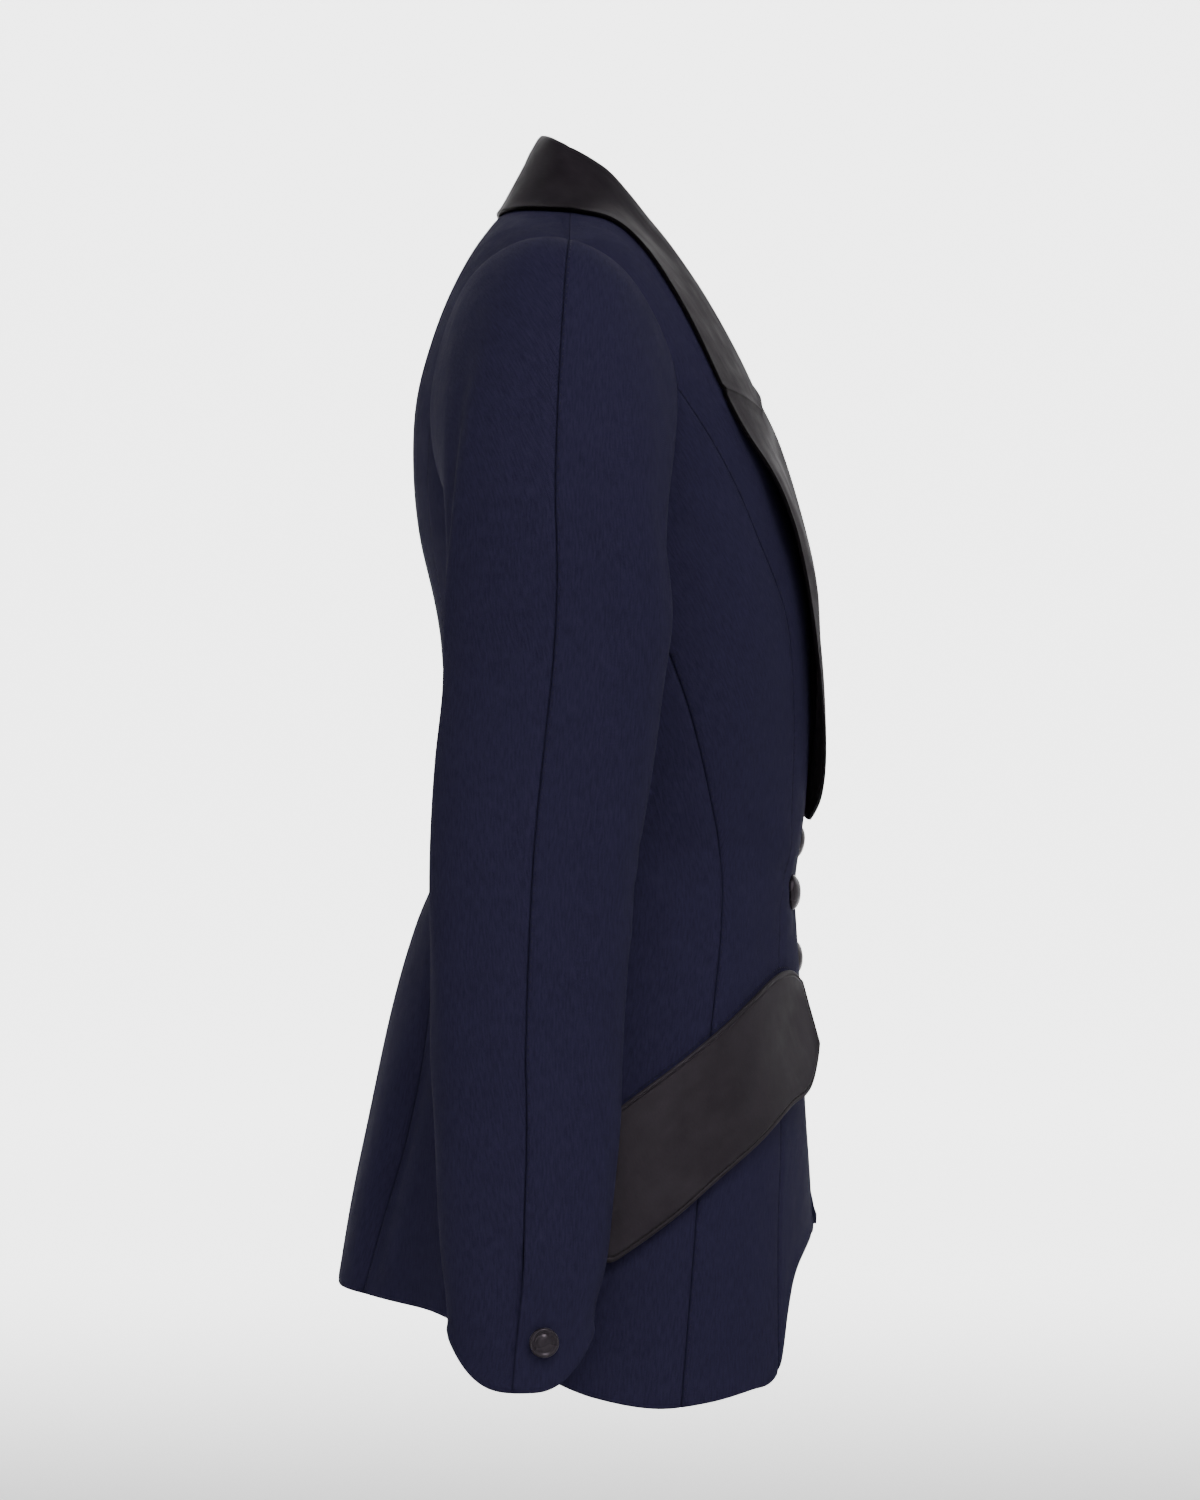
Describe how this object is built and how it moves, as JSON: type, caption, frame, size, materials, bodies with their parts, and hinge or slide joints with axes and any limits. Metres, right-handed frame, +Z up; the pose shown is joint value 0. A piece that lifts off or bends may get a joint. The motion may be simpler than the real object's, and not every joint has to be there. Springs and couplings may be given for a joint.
{
  "type": "tuxedo blazer",
  "caption": "Woman's long fitted tuxedo blazer, worn shape and hollow, with satin shawl-style lapels, slanted satin hip flaps, covered buttons and a flared skirt.",
  "frame": {"origin": "middle of the neck opening, level with the neck ends of the shoulder seams, where the wearer's shoulders carry the coat", "axes": "+Z up; the front faces -Y; the wearer's right side is at -X and the left at +X"},
  "size_m": [0.5558, 0.299, 0.7631],
  "materials": {
    "wool": "fine matt navy wool suiting",
    "satin": "black satin, soft sheen"
  },
  "bodies": {
    "root": {"back": "wool", "button_bottom": "satin", "button_cuff_left": "satin", "button_cuff_right": "satin", "button_middle": "satin", "button_top": "satin", "collar": "satin", "flap_left": "satin", "flap_right": "satin", "front_left": "wool", "front_right": "wool", "lapel_left": "satin", "lapel_right": "satin", "side_back_left": "wool", "side_back_right": "wool", "side_front_left": "wool", "side_front_right": "wool", "sleeve_back_left": "wool", "sleeve_back_right": "wool", "sleeve_front_left": "wool", "sleeve_front_right": "wool"}
  },
  "joints": []
}
